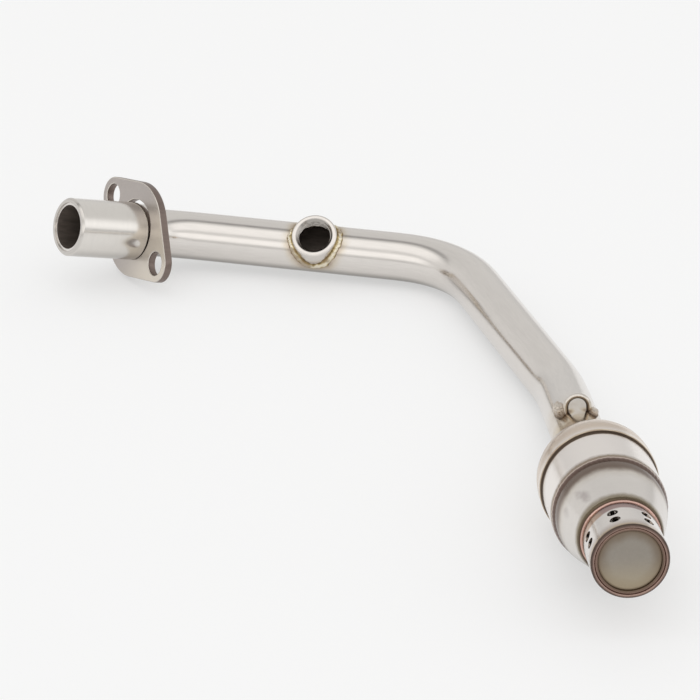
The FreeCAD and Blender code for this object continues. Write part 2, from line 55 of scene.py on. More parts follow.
# Sizes of the solids, in millimetres and degrees
MM = 0.001
UP = Vector((0, 0, 1))
SCENE = bpy.context.scene
PIPE_R, PIPE_BORE_R = 12.7, 11.5
INLET_RUN, LEG_RUN, DOWN_RUN, TAIL_RUN = 68.0, 153.0, 152.0, 85.7
BEND_RADII = (40.0, 50.0, 64.0)
SLEEVE_R, SEAT_R, SEAT_START, SLEEVE_END, MOUTH_SETBACK = 15.25, 14.75, 40.5, 48.0, 0.8
FLANGE_PLACE, FLANGE_THICK, FLANGE_PLAY, FLANGE_TURN = 41.0, 4.5, 1.1, 19.6
STUD_REACH, STUD_HOLE_R, LOBE_R, MIDDLE_R = 28.1, 6.2, 9.92, 25.4
BOSS_PLACE, BOSS_TURN, BOSS_R, BOSS_TOP, BOSS_BORE_R = 77.5, 40.5, 12.0, 16.5, 8.2
HOOK_PLACE, HOOK_TURN, HOOK_WIRE_R, HOOK_HALF, HOOK_TOP = 24.0, 3.0, 1.3, 5.5, 8.5
SHELL_R, LAP_R, SHEET, CAP_SHEET, CONE_END = 26.4, 25.9, 1.2, 1.62, 24.5
SHELL_START, FRONT_SEAM, LAP_END, REAR_SEAM = 34.887, 40.2, 42.4, 68.5
CUP_SEAT, CUP_END, CUP_END_R, TUBE_R, TUBE_BORE_R, TUBE_END = 76.5, 99.5, 19.2, 17.4, 15.9, 127.0
VENT_R, VENT_TURN, VENT_COUNT, VENT_PLACES = 2.5, 19.0, 7, (8.8, 15.9)
END_FACE = 125.4


# Centre line and local frames
def way(heading, rise):
    turn, climb = math.radians(heading), math.radians(rise)
    return Vector((math.cos(climb) * math.cos(turn), math.cos(climb) * math.sin(turn), math.sin(climb)))


def place(origin, along, upright=UP, turn=0.0):
    """Matrix with local Z along a direction and local Y upright, turned about Z."""
    z_axis = along.normalized()
    x_axis = upright.cross(z_axis).normalized()
    y_axis = z_axis.cross(x_axis)
    basis = Matrix((x_axis, y_axis, z_axis)).transposed().to_4x4()
    return Matrix.Translation(origin) @ basis @ Matrix.Rotation(math.radians(turn), 4, "Z")


INLET_WAY, LEG_WAY = way(44.0, -17.5), way(0.0, -1.3)
DOWN_WAY, TAIL_WAY = way(-61.5, 0.0), way(-74.0, 6.9)
FLANGE_AT = Vector((0, 0, 0))
FLANGE_DROP = place(FLANGE_AT, INLET_WAY).to_3x3() @ Vector((0, FLANGE_PLAY, 0))
MOUTH = FLANGE_AT - FLANGE_DROP - INLET_WAY * FLANGE_PLACE
INLET_CORNER = MOUTH + INLET_WAY * INLET_RUN
LEG_CORNER = INLET_CORNER + LEG_WAY * LEG_RUN
TAIL_CORNER = LEG_CORNER + DOWN_WAY * DOWN_RUN
CAP_START = TAIL_CORNER + TAIL_WAY * TAIL_RUN
INLET_PLACE, CHAMBER_PLACE = place(MOUTH, INLET_WAY), place(CAP_START, TAIL_WAY)
BOSS_FOOT = INLET_CORNER + LEG_WAY * BOSS_PLACE
BOSS_WAY = Quaternion(LEG_WAY, math.radians(BOSS_TURN)) @ (UP - LEG_WAY * UP.dot(LEG_WAY)).normalized()
BOSS_PLACE_MATRIX = place(BOSS_FOOT, BOSS_WAY, LEG_WAY)
HOOK_FOOT = CAP_START - TAIL_WAY * HOOK_PLACE
HOOK_MATRIX = place(HOOK_FOOT, TAIL_WAY, UP, HOOK_TURN)


def polar(radius, angle, height):
    """Point at a radius and an angle round the local Z axis."""
    return Vector((radius * math.cos(angle), radius * math.sin(angle), height))


def round_turn(count):
    """Angles of equal steps round a full turn."""
    return [2 * math.pi * step / count for step in range(count)]


def placed(matrix, lays):
    return [matrix @ local for local in lays]


# Mesh helpers: every piece keeps its unbent, local coordinates in the attribute "lay"
def add_piece(name, points, lays, faces, nodes, slot, finish, sharp=32, across=None):
    """Smooth mesh from points in millimetres, standing for CAD nodes.

    across is a second value to paint by, one for each point.
    """
    mesh = bpy.data.meshes.new(name)
    mesh.from_pydata([p * MM for p in points], [], faces)
    lay = mesh.attributes.new("lay", "FLOAT_VECTOR", "POINT")
    lay.data.foreach_set("vector", [c * MM for v in lays for c in v])
    if across:
        mesh.attributes.new("across", "FLOAT", "POINT").data.foreach_set("value", across)
    work = bmesh.new()
    work.from_mesh(mesh)
    loose = [vertex for vertex in work.verts if not vertex.link_faces]
    bmesh.ops.delete(work, geom=loose, context="VERTS")
    bmesh.ops.remove_doubles(work, verts=work.verts, dist=1e-7)
    bmesh.ops.dissolve_degenerate(work, edges=work.edges, dist=1e-8)
    bmesh.ops.recalc_face_normals(work, faces=work.faces)
    work.to_mesh(mesh)
    work.free()
    mesh.polygons.foreach_set("use_smooth", [True] * len(mesh.polygons))
    mesh.set_sharp_from_angle(angle=math.radians(sharp))
    return dress(bpy.data.objects.new(name, mesh), nodes, slot, finish)


def dress(obj, nodes, slot, *finishes):
    SCENE.collection.objects.link(obj)
    for finish in finishes:
        obj.data.materials.append(finish)
    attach(obj, "root")
    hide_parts(*nodes)
    return obj


def grid_faces(rows, columns, row_wrap=True):
    """Quads over a grid of points stored row by row, each row closed on itself."""
    faces = []
    for row in range(rows if row_wrap else rows - 1):
        for column in range(columns):
            after, beside = (row + 1) % rows, (column + 1) % columns
            faces.append((row * columns + column, row * columns + beside,
                          after * columns + beside, after * columns + column))
    return faces


def walled_faces(rows, columns, open_at):
    """Faces of a tube with an outer and an inner skin, closed at its ends and round its holes."""
    count = rows * columns
    faces, edges = [], {}
    for face in grid_faces(rows, columns, row_wrap=False):
        if all(corner in open_at for corner in face):
            edges.update(dict.fromkeys(zip(face, face[1:] + face[:1])))
        else:
            faces += [face, tuple(corner + count for corner in face)]
    rims = [(a, b) for a, b in edges if (b, a) not in edges]
    for first in (0, count - columns):
        rims += [(first + i, first + (i + 1) % columns) for i in range(columns)]
    return faces + [(a, b, b + count, a + count) for a, b in rims]


def rounded(corners, hold=0.35):
    """Closed profile from (radius, height, rounding) corners, with a point each side of every arc."""
    straight, arc_step, least = 3.1, 0.16, 0.02
    outline = []
    for index, (across, up, bend) in enumerate(corners):
        corner = Vector((across, up))
        before = Vector(corners[index - 1][:2]) - corner
        after = Vector(corners[(index + 1) % len(corners)][:2]) - corner
        into, out = before.normalized(), after.normalized()
        opening = math.acos(max(-1.0, min(1.0, into.dot(out))))
        if bend <= 0 or opening > straight:
            outline.append(corner)
            continue
        reach = min(bend / math.tan(opening / 2), before.length * 0.49, after.length * 0.49)
        radius = reach * math.tan(opening / 2)
        centre = corner + (into + out).normalized() * (radius / math.sin(opening / 2))
        start, stop = corner + into * reach, corner + out * reach
        spare = min(before.length - reach, hold)
        if spare > least:
            outline.append(start + into * spare)
        first, sweep = start - centre, math.pi - opening
        side = 1.0 if first.x * (stop - centre).y - first.y * (stop - centre).x > 0 else -1.0
        count = max(3, round(sweep / arc_step))
        for step in range(count + 1):
            outline.append(centre + Matrix.Rotation(side * sweep * step / count, 2) @ first)
        spare = min(after.length - reach, hold)
        if spare > least:
            outline.append(stop + out * spare)
    return [(p.x, p.y) for p in outline]


def spun(name, profile, matrix, nodes, slot, finish, turns):
    """Piece made by turning a closed profile about the local Z axis."""
    lays = [polar(radius, angle, height) for angle in round_turn(turns) for radius, height in profile]
    faces = grid_faces(turns, len(profile))
    add_piece(name, placed(matrix, lays), lays, faces, nodes, slot, finish)


def stations(corners, radii, fine, step, fine_step=0.8, bend_step=1.2):
    """Centre-line points, directions and distances, closer together on bends and in the fine stretch."""
    found, gone = [], 0.0

    def run(start, stop):
        nonlocal gone
        length = (stop - start).length
        marks, at = [0.0], 0.0
        while at < length - 0.05:
            near = fine[0] < gone + at < fine[1]
            at = min(length, at + (fine_step if near else step))
            marks.append(at)
        heading = (stop - start).normalized()
        for mark in marks[:-1]:
            found.append((start + heading * mark, heading, gone + mark))
        gone += length
        return heading

    last = corners[0]
    for before, corner, after, radius in zip(corners, corners[1:], corners[2:], radii):
        into, out = (corner - before).normalized(), (after - corner).normalized()
        turn = into.angle(out)
        reach = radius * math.tan(turn / 2)
        run(last, corner - into * reach)
        axis = into.cross(out).normalized()
        centre = corner - into * reach + axis.cross(into) * radius
        count = max(4, round(turn * radius / bend_step))
        for step_number in range(count):
            spin = Quaternion(axis, turn * step_number / count)
            arm = spin @ (corner - into * reach - centre)
            found.append((centre + arm, spin @ into, gone + turn * radius * step_number / count))
        gone += turn * radius
        last = corner + out * reach
    heading = run(last, corners[-1])
    found.append((corners[-1], heading, gone))
    return found


def eased(line, reach):
    """The same centre line with each bend running gently into its straights."""
    marks = [gone for _, _, gone in line]

    def at(gone):
        index = min(max(bisect.bisect_right(marks, gone) - 1, 0), len(line) - 2)
        start, _, mark = line[index]
        stop, _, next_mark = line[index + 1]
        return start + (stop - start) * ((gone - mark) / (next_mark - mark))

    steps = [i / 8 for i in range(-8, 9)]
    total = sum(1 - abs(step) for step in steps)
    centres = []
    for mark in marks:
        spread = (at(mark + step * reach) * (1 - abs(step)) for step in steps)
        centres.append(sum(spread, Vector((0, 0, 0))) / total)
    ahead = centres[1:] + [centres[-1] * 2 - centres[-2]]
    behind = [centres[0] * 2 - centres[1]] + centres[:-1]
    return [(centre, (after - before).normalized(), mark)
            for centre, after, before, mark in zip(centres, ahead, behind, marks)]


def tube_rings(line, radius, segments):
    """Rings of points round a centre line, with their straightened coordinates."""
    points, lays = [], []
    top = UP - line[0][1] * UP.dot(line[0][1])
    last = line[0][1]
    for centre, heading, gone in line:
        top = last.rotation_difference(heading) @ top
        top = (top - heading * top.dot(heading)).normalized()
        side = heading.cross(top)
        last = heading
        for angle in round_turn(segments):
            points.append(centre + (top * math.cos(angle) + side * math.sin(angle)) * radius)
            lays.append(polar(radius, angle, gone))
    return points, lays


def wavy(angle, seed, lumps=3.0):
    """Smooth closed noise round a ring, from -1 to 1."""
    return noise.noise(Vector((math.cos(angle) * lumps, math.sin(angle) * lumps, seed)))


# Materials
def new_group(name, inputs, outputs):
    group = bpy.data.node_groups.new(name, "ShaderNodeTree")
    for kind, label, value in inputs:
        socket = group.interface.new_socket(label, in_out="INPUT", socket_type="NodeSocket" + kind)
        socket.default_value = value
    for kind, label in outputs:
        group.interface.new_socket(label, in_out="OUTPUT", socket_type="NodeSocket" + kind)
    return group, group.nodes.new("NodeGroupInput").outputs, group.nodes.new("NodeGroupOutput").inputs


class Net:
    """Short names for adding and linking shader nodes."""

    def __init__(self, tree):
        self.tree = tree

    def node(self, kind, **settings):
        made = self.tree.nodes.new("ShaderNode" + kind)
        for key, value in settings.items():
            setattr(made, key, value)
        return made

    def feed(self, socket, source):
        if isinstance(source, bpy.types.NodeSocket):
            self.tree.links.new(source, socket)
        else:
            socket.default_value = source

    def math(self, operation, *values, clamp=False):
        made = self.node("Math", operation=operation, use_clamp=clamp)
        for socket, value in zip(made.inputs, values):
            self.feed(socket, value)
        return made.outputs[0]

    def vector(self, operation, *values):
        made = self.node("VectorMath", operation=operation)
        for socket, value in zip(made.inputs, values):
            self.feed(socket, value)
        return made.outputs["Value" if operation in ("DISTANCE", "LENGTH") else "Vector"]

    def part(self, vector, axis):
        """The X, Y or Z of a vector."""
        split = self.node("SeparateXYZ")
        self.feed(split.inputs[0], vector)
        return split.outputs[axis]

    def noise(self, vector, scale, detail, rough):
        made = self.node("TexNoise")
        self.feed(made.inputs["Vector"], vector)
        self.feed(made.inputs["Scale"], scale)
        made.inputs["Detail"].default_value = detail
        made.inputs["Roughness"].default_value = rough
        return made.outputs[0]

    def wobble(self, vector, scale, detail, rough, size):
        """Noise about zero, to shift the edge of a mark."""
        centred = self.math("SUBTRACT", self.noise(vector, scale, detail, rough), 0.5)
        return self.math("MULTIPLY", centred, size)

    def span(self, value, low, high, to_low=0.0, to_high=1.0):
        made = self.node("MapRange", interpolation_type="SMOOTHSTEP")
        for socket, amount in zip(made.inputs, (value, low, high, to_low, to_high)):
            self.feed(socket, amount)
        return made.outputs[0]

    def mix(self, factor, first, second):
        made = self.node("Mix", data_type="RGBA")
        self.feed(made.inputs["Factor"], factor)
        self.feed(made.inputs["A"], first)
        self.feed(made.inputs["B"], second)
        return made.outputs["Result"]

    def ramp(self, value, stops):
        made = self.node("ValToRGB")
        self.feed(made.inputs[0], value)
        elements = made.color_ramp.elements
        while len(elements) < len(stops):
            elements.new(0.5)
        for element, (position, colour) in zip(elements, stops):
            element.position = position
            element.color = colour + (1,)
        return made.outputs[0]

    def use(self, group, **values):
        made = self.node("Group", node_tree=group)
        for label, value in values.items():
            self.feed(made.inputs[label], value)
        return made.outputs


def make_grain():
    """Fine lines of a brushed or turned surface, and broad patches."""
    group, given, result = new_group("brushed_grain", [
        ("Vector", "Lay", (0, 0, 0)), ("Vector", "Stretch", (1, 1, 1)),
        ("Float", "Scale", 900.0)], [("Float", "Lines"), ("Float", "Patches")])
    net = Net(group)
    stretched = net.vector("MULTIPLY", given["Lay"], given["Stretch"])
    net.feed(result["Lines"], net.noise(stretched, given["Scale"], 4.0, 0.65))
    net.feed(result["Patches"], net.noise(given["Lay"], 38.0, 3.0, 0.6))
    return group


def make_heat():
    """Oxide colours that fade from brown through straw with the distance from a weld."""
    group, given, result = new_group("heat_tint", [
        ("Color", "Steel", (0.7, 0.68, 0.65, 1)), ("Float", "Distance", 0.0),
        ("Float", "Reach", 0.01), ("Float", "Strength", 1.0),
        ("Vector", "Lay", (0, 0, 0))], [("Color", "Colour")])
    net = Net(group)
    share = net.math("DIVIDE", given["Distance"], given["Reach"])
    shifted = net.math("ADD", share, net.wobble(given["Lay"], 130.0, 4.0, 0.6, 0.7), clamp=True)
    colour = net.ramp(shifted, [
        (0.0, (0.20, 0.13, 0.085)), (0.18, (0.34, 0.23, 0.13)),
        (0.42, (0.52, 0.41, 0.25)), (1.0, (0.66, 0.58, 0.46))])
    fade = net.span(shifted, 0.05, 1.0, 1.0, 0.0)
    tint = net.math("MULTIPLY", fade, given["Strength"], clamp=True)
    net.feed(result["Colour"], net.mix(tint, given["Steel"], colour))
    return group


GRAIN, HEAT = make_grain(), make_heat()
GRAIN_DEPTH = 0.0004
# Painted shade for faces that look down, standing in for the shadowed floor they reflect
UNDERSIDE_SHADE_STEEL = (0.235, 0.217, 0.198, 1)


def shade(colour, factor):
    return tuple(min(1, channel * factor) for channel in colour[:3]) + (1,)


class Finish(Net):
    """A steel material whose colour, roughness and bump vary over the surface."""

    def __init__(self, name, metallic=1.0):
        self.material = bpy.data.materials.new(name)
        self.material.use_nodes = True
        super().__init__(self.material.node_tree)
        self.shader = self.tree.nodes["Principled BSDF"]
        self.shader.inputs["Metallic"].default_value = metallic
        self.lay = self.node("Attribute", attribute_name="lay").outputs["Vector"]
        self.spot = self.node("TexCoord").outputs["Object"]

    def across(self):
        return self.node("Attribute", attribute_name="across").outputs["Fac"]

    def along(self):
        return self.part(self.lay, "Z")

    def radius(self):
        return self.vector("LENGTH", self.vector("MULTIPLY", self.lay, (1, 1, 0)))

    def from_height(self, along, millimetres):
        return self.math("ABSOLUTE", self.math("SUBTRACT", along, millimetres * MM))

    def from_point(self, point, clear):
        """Distance from a point, less a clear space, both given in millimetres."""
        return self.math("SUBTRACT", self.vector("DISTANCE", self.spot, point * MM), clear * MM)

    def brushed(self, stretch, scale, colour, contrast):
        """Base colour with lines and patches in it."""
        self.grain = self.use(GRAIN, Lay=self.lay, Stretch=stretch, Scale=scale)
        lines = self.span(self.grain["Lines"], 0.3, 0.7)
        self.tone = self.mix(lines, shade(colour, 1 - contrast), shade(colour, 1 + contrast))
        patches = self.span(self.grain["Patches"], 0.3, 0.75)
        self.paint(self.math("MULTIPLY", patches, 0.12), shade(colour, 0.86))

    def paint(self, mask, colour):
        """Lay a colour over the tone so far."""
        self.tone = self.mix(mask, self.tone, colour)

    def heat(self, distance, reach, strength):
        """Heat colours over the tone, fading over a reach in millimetres."""
        made = self.use(HEAT, Steel=self.tone, Distance=distance, Reach=reach * MM,
                        Strength=strength, Lay=self.spot)
        self.tone = made["Colour"]

    def paint_underside_shade(self, strength):
        """Painted shade: darker steel on the faces that look down, standing in for the shadowed floor they
        reflect.
        """
        facing = self.part(self.node("TexCoord").outputs["Normal"], "Z")
        self.paint(self.span(facing, -0.38, -0.86, 0.0, strength), UNDERSIDE_SHADE_STEEL)

    def done(self, rough, rough_spread, bump):
        """The material, with roughness and bump that follow the grain."""
        self.feed(self.shader.inputs["Base Color"], self.tone)
        low, high = rough - rough_spread / 2, rough + rough_spread / 2
        lines = self.math("MULTIPLY", self.grain["Lines"], 0.5)
        patches = self.math("MULTIPLY", self.grain["Patches"], 0.5)
        uneven = self.span(self.math("ADD", lines, patches), 0.3, 0.7, low, high)
        self.feed(self.shader.inputs["Roughness"], uneven)
        relief = self.node("Bump")
        relief.inputs["Strength"].default_value = bump
        relief.inputs["Distance"].default_value = GRAIN_DEPTH
        self.feed(relief.inputs["Height"], self.grain["Lines"])
        self.feed(self.shader.inputs["Normal"], relief.outputs[0])
        return self.material


def plain_finish(name, brush, surface, metallic=1.0):
    """Steel with nothing but its grain: what brushed() takes, then what done() takes."""
    made = Finish(name, metallic)
    made.brushed(*brush)
    return made.done(*surface)


def pipe_finish():
    made = Finish("satin_pipe")
    made.brushed((1, 1, 0.06), 1500.0, (0.72, 0.685, 0.65, 1), 0.03)
    made.heat(made.math("ADD", made.across(), 0.0015), 7.0, 0.6)
    made.heat(made.math("MAXIMUM", made.from_point(HOOK_FOOT, 9.0), 0.006), 18.0, 0.4)
    for side in (-1, 1):
        foot = HOOK_MATRIX @ Vector((side * HOOK_HALF, math.sqrt(PIPE_R ** 2 - HOOK_HALF ** 2), 0))
        made.heat(made.math("MAXIMUM", made.from_point(foot, 1.8), 0.0), 4.0, 0.95)
    made.heat(made.math("MAXIMUM", made.from_point(CAP_START, 12.5), 0.003), 17.0, 0.9)
    # Painted shade on the faces of the pipe that look down
    made.paint_underside_shade(0.95)
    return made.done(0.17, 0.05, 0.012)


def sleeve_finish():
    made = Finish("turned_sleeve")
    made.brushed((0.08, 0.08, 1), 2200.0, (0.74, 0.71, 0.67, 1), 0.025)
    rim = made.span(made.along(), 0.0, 0.0016, 0.5, 0.0)
    made.paint(rim, (0.44, 0.41, 0.385, 1))
    # Painted shade on the faces of the sleeve that look down
    made.paint_underside_shade(0.5)
    return made.done(0.2, 0.05, 0.01)


def boss_finish():
    made = Finish("turned_boss")
    made.brushed((0.08, 0.08, 1), 2400.0, (0.72, 0.68, 0.64, 1), 0.03)
    made.heat(made.from_height(made.along(), 7.0), 5.0, 0.5)
    # Soot and painted shade: the bore and its thread darker, for the shade inside the hole
    bore = made.span(made.radius(), 0.0094, 0.0101, 0.7, 0.0)
    made.paint(bore, (0.26, 0.24, 0.22, 1))
    return made.done(0.17, 0.06, 0.012)


def flange_finish():
    made = Finish("satin_plate")
    made.brushed((1, 0.15, 1), 1300.0, (0.45, 0.41, 0.385, 1), 0.03)
    # Painted light: the face paler towards one lobe, lifting the shade it reflects there
    pale = made.span(made.part(made.lay, "X"), 0.002, -0.030)
    made.paint(pale, (0.70, 0.64, 0.56, 1))
    return made.done(0.32, 0.08, 0.015)


# Marks on the chamber: turn round its axis in degrees, radius, height and reach in mm, strength, colour
RUB, STAIN = (0.34, 0.295, 0.29, 1), (0.36, 0.28, 0.21, 1)
MARKS = (
    (132, 22.4, 91.0, 2.6, 0.55, RUB),
    (138, 23.6, 87.0, 2.0, 0.35, RUB),
    (163, 23.8, 86.0, 2.2, 0.3, RUB),
    (128, 23.0, 21.0, 9.0, 0.6, STAIN),
    (152, 26.0, 29.0, 8.0, 0.55, STAIN),
    (100, 21.0, 17.0, 8.0, 0.5, STAIN))


def chamber_finish():
    made = Finish("chamber_sheet")
    made.brushed((0.12, 0.12, 1), 1300.0, (0.71, 0.675, 0.64, 1), 0.02)
    along, seam, outlet = made.along(), REAR_SEAM * MM, CUP_END * MM
    ragged = made.math("ADD", along, made.wobble(made.spot, 90.0, 3.0, 0.6, 0.004))
    bright = made.span(along, seam, seam + 0.003, 1.0, 0.0)
    made.paint(bright, (0.84, 0.79, 0.75, 1))
    straw = made.span(along, 0.034, 0.042, 0.95, 0.0)
    made.paint(straw, (0.63, 0.525, 0.43, 1))
    made.heat(made.from_height(along, 0.0), 26.0, 0.6)
    made.heat(made.from_height(along, FRONT_SEAM + 0.6), 2.4, 0.8)
    past_seam = made.span(along, seam + 0.001, seam + 0.002)
    glow = made.span(ragged, seam + 0.008, seam + 0.018, 0.5, 0.0)
    made.paint(made.math("MULTIPLY", glow, past_seam), (0.50, 0.43, 0.34, 1))
    burnt = made.span(ragged, seam + 0.0085, seam + 0.0135, 0.97, 0.0)
    made.paint(made.math("MULTIPLY", burnt, past_seam), (0.165, 0.12, 0.095, 1))
    before_seam = made.span(ragged, seam - 0.003, seam, 0.0, 0.7)
    before_seam = made.math("SUBTRACT", before_seam, past_seam, clamp=True)
    made.paint(before_seam, (0.33, 0.27, 0.22, 1))
    olive = made.span(ragged, outlet - 0.0036, outlet - 0.0004, 0.0, 0.9)
    made.paint(olive, (0.27, 0.225, 0.16, 1))
    rubbed = made.wobble(made.spot, 420.0, 3.0, 0.6, 0.003)
    for turn, radius, height, reach, strength, colour in MARKS:
        spot = polar(radius, math.radians(turn), height) * MM
        arm = made.vector("MULTIPLY", made.vector("SUBTRACT", made.lay, spot), (1, 1, 0.5))
        gap = made.math("ADD", made.vector("LENGTH", arm), rubbed)
        made.paint(made.span(gap, 0.0008, 0.0008 + reach * MM, strength, 0.0), colour)
    # Painted shade on the faces of the chamber that look down
    made.paint_underside_shade(0.8)
    return made.done(0.22, 0.05, 0.008)


def tube_finish():
    made = Finish("vented_tube")
    made.brushed((0.12, 0.12, 1), 1600.0, (0.74, 0.70, 0.665, 1), 0.02)
    along = made.along()
    patches = made.noise(made.spot, 85.0, 2.0, 0.5)
    edge = made.math("ADD", along, made.math("MULTIPLY", made.math("SUBTRACT", patches, 0.5), 0.004))
    band = made.span(edge, (CUP_END + 7.6) * MM, (CUP_END + 9.2) * MM, 0.93, 0.0)
    high = made.math("ADD", made.part(made.lay, "Y"), made.math("MULTIPLY", patches, 0.006))
    tan = made.span(high, 0.0185, 0.0155)
    stain = made.mix(tan, (0.30, 0.198, 0.185, 1), (0.46, 0.315, 0.225, 1))
    made.paint(band, stain)
    smoked = made.span(along, (TUBE_END - 8.0) * MM, (TUBE_END - 2.0) * MM, 0.0, 0.75)
    made.paint(smoked, (0.43, 0.355, 0.31, 1))
    made.heat(made.from_height(along, TUBE_END - 0.6), 3.5, 0.8)
    return made.done(0.16, 0.05, 0.008)


def weld_finish(name, bands, rough=0.27, ragged=0.16, lumps=170.0, burnt=0.0):
    """Weld coloured in bands from one toe, at 0, to the other, at 1."""
    made = Finish(name)
    made.grain = made.use(GRAIN, Lay=made.lay, Stretch=(1, 1, 1), Scale=700.0)
    shift = made.wobble(made.spot, lumps, 3.0, 0.55, ragged)
    made.tone = made.ramp(made.math("ADD", made.across(), shift, clamp=True), bands)
    if burnt:
        spots = made.span(made.noise(made.spot, 120.0, 2.0, 0.5), 0.5, 0.62, 0.0, burnt)
        made.paint(spots, (0.23, 0.15, 0.08, 1))
    return made.done(rough, 0.1, 0.06)


def end_disc_finish():
    made = Finish("tinted_disc")
    made.brushed((1, 1, 1), 700.0, (0.30, 0.272, 0.235, 1), 0.03)
    radius = made.radius()
    cloudy = made.math("MULTIPLY", made.noise(made.spot, 160.0, 2.0, 0.5), 0.003)
    # Brown heat tint and painted shade: the disc darker towards its rim, where the rim bead shades it
    dim = made.span(made.math("ADD", radius, cloudy), 0.0095, 0.0150, 0.0, 0.8)
    made.paint(dim, (0.185, 0.14, 0.10, 1))
    low = made.span(made.part(made.lay, "Y"), 0.003, -0.013, 0.0, 0.62)
    made.paint(low, (0.43, 0.36, 0.25, 1))
    rim = made.span(radius, 0.0128, 0.0139, 0.0, 0.9)
    made.paint(rim, (0.15, 0.108, 0.07, 1))
    return made.done(0.34, 0.06, 0.01)


def hook_finish():
    made = Finish("drawn_rod")
    made.brushed((1, 1, 0.06), 1500.0, (0.68, 0.64, 0.60, 1), 0.03)
    # Heat tint and painted shade: the rod darker towards its feet on the pipe, where shade falls
    made.heat(made.from_point(HOOK_FOOT, 12.0), 10.0, 0.6)
    # Painted shade: the inner side of the rod's loop near black, where shade falls
    loop_inside_shade = made.span(made.part(made.lay, "Y"), -0.0003, 0.0007, 0.0, 0.92)
    made.paint(loop_inside_shade, (0.045, 0.031, 0.021, 1))
    return made.done(0.2, 0.06, 0.015)


PIPE_STEEL, SLEEVE_STEEL, BOSS_STEEL = pipe_finish(), sleeve_finish(), boss_finish()
SHEET_STEEL, TUBE_STEEL, ROD_STEEL = chamber_finish(), tube_finish(), hook_finish()
PLATE_FACE, END_DISC = flange_finish(), end_disc_finish()
PLATE_EDGE = plain_finish("cut_plate_edge", ((1, 1, 0.06), 900.0, (0.215, 0.17, 0.15, 1), 0.08),
                          (0.36, 0.1, 0.03))
# Painted highlight: a pale finish on the bevelled plate edge, where the edge catches the light
PLATE_EDGE_HIGHLIGHT = plain_finish("painted_highlight_plate_edge", ((1, 1, 1), 900.0, (0.64, 0.595, 0.54, 1), 0.08),
                         (0.24, 0.1, 0.02))
BORE_SCALE = plain_finish("sooted_bore", ((1, 1, 0.2), 500.0, (0.20, 0.165, 0.14, 1), 0.2),
                          (0.5, 0.15, 0.05), 0.55)
FOIL = plain_finish("catalyst_foil", ((1, 1, 0.1), 900.0, (0.42, 0.40, 0.37, 1), 0.1), (0.45, 0.1, 0.05))
STRAW_WELD = weld_finish("straw_weld", [
    (0.0, (0.15, 0.105, 0.045)), (0.15, (0.40, 0.31, 0.15)), (0.34, (0.78, 0.71, 0.56)),
    (0.64, (0.80, 0.735, 0.60)), (0.84, (0.48, 0.38, 0.19)), (1.0, (0.15, 0.105, 0.045))],
    0.2, 0.75, 330.0, 0.6)
NECK_WELD = weld_finish("neck_weld", [
    (0.0, (0.16, 0.11, 0.075)), (0.5, (0.40, 0.31, 0.22)), (1.0, (0.20, 0.14, 0.09))])
SEAM_WELD = weld_finish("dark_seam_weld", [
    (0.0, (0.15, 0.11, 0.08)), (0.35, (0.075, 0.053, 0.038)), (0.8, (0.085, 0.062, 0.046)),
    (1.0, (0.16, 0.125, 0.095))], 0.32)
# Brown heat tint on the rear seam weld, with a painted highlight along its crest at 0.48
BAND_WELD = weld_finish("brown_band_weld_painted_crest", [
    (0.0, (0.22, 0.175, 0.14)), (0.12, (0.35, 0.28, 0.215)), (0.38, (0.31, 0.245, 0.195)),
    (0.48, (0.64, 0.54, 0.475)), (0.58, (0.21, 0.15, 0.13)), (0.8, (0.135, 0.092, 0.076)),
    (1.0, (0.155, 0.11, 0.09))], 0.25, 0.22)
# Dark heat tint on the outlet weld, with a copper-coloured painted highlight along its toe on the tube side
OUTLET_WELD = weld_finish("dark_weld_painted_copper_highlight", [
    (0.0, (0.20, 0.165, 0.11)), (0.45, (0.13, 0.098, 0.065)), (0.72, (0.07, 0.045, 0.034)),
    (0.80, (0.58, 0.38, 0.32)), (0.94, (0.62, 0.42, 0.355)), (1.0, (0.42, 0.28, 0.245))], 0.27, 0.08)
RIM_WELD = weld_finish("brown_rim_weld", [
    (0.0, (0.11, 0.08, 0.055)), (0.14, (0.14, 0.098, 0.072)), (0.32, (0.22, 0.148, 0.118)),
    (0.46, (0.25, 0.168, 0.138)), (0.57, (0.36, 0.25, 0.21)), (0.66, (0.28, 0.195, 0.165)),
    (0.78, (0.145, 0.10, 0.084)), (0.9, (0.085, 0.06, 0.048)), (1.0, (0.12, 0.092, 0.078))],
    0.25, 0.16, 210.0)
# Painted shade and light: the lumps dark where they meet the pipe and light at their tops
LUMP_WELD = weld_finish("hook_lump_weld", [
    (0.0, (0.10, 0.07, 0.05)), (0.3, (0.26, 0.20, 0.15)), (0.6, (0.46, 0.39, 0.32)),
    (1.0, (0.66, 0.60, 0.53))], 0.22, 0.5, 260.0)


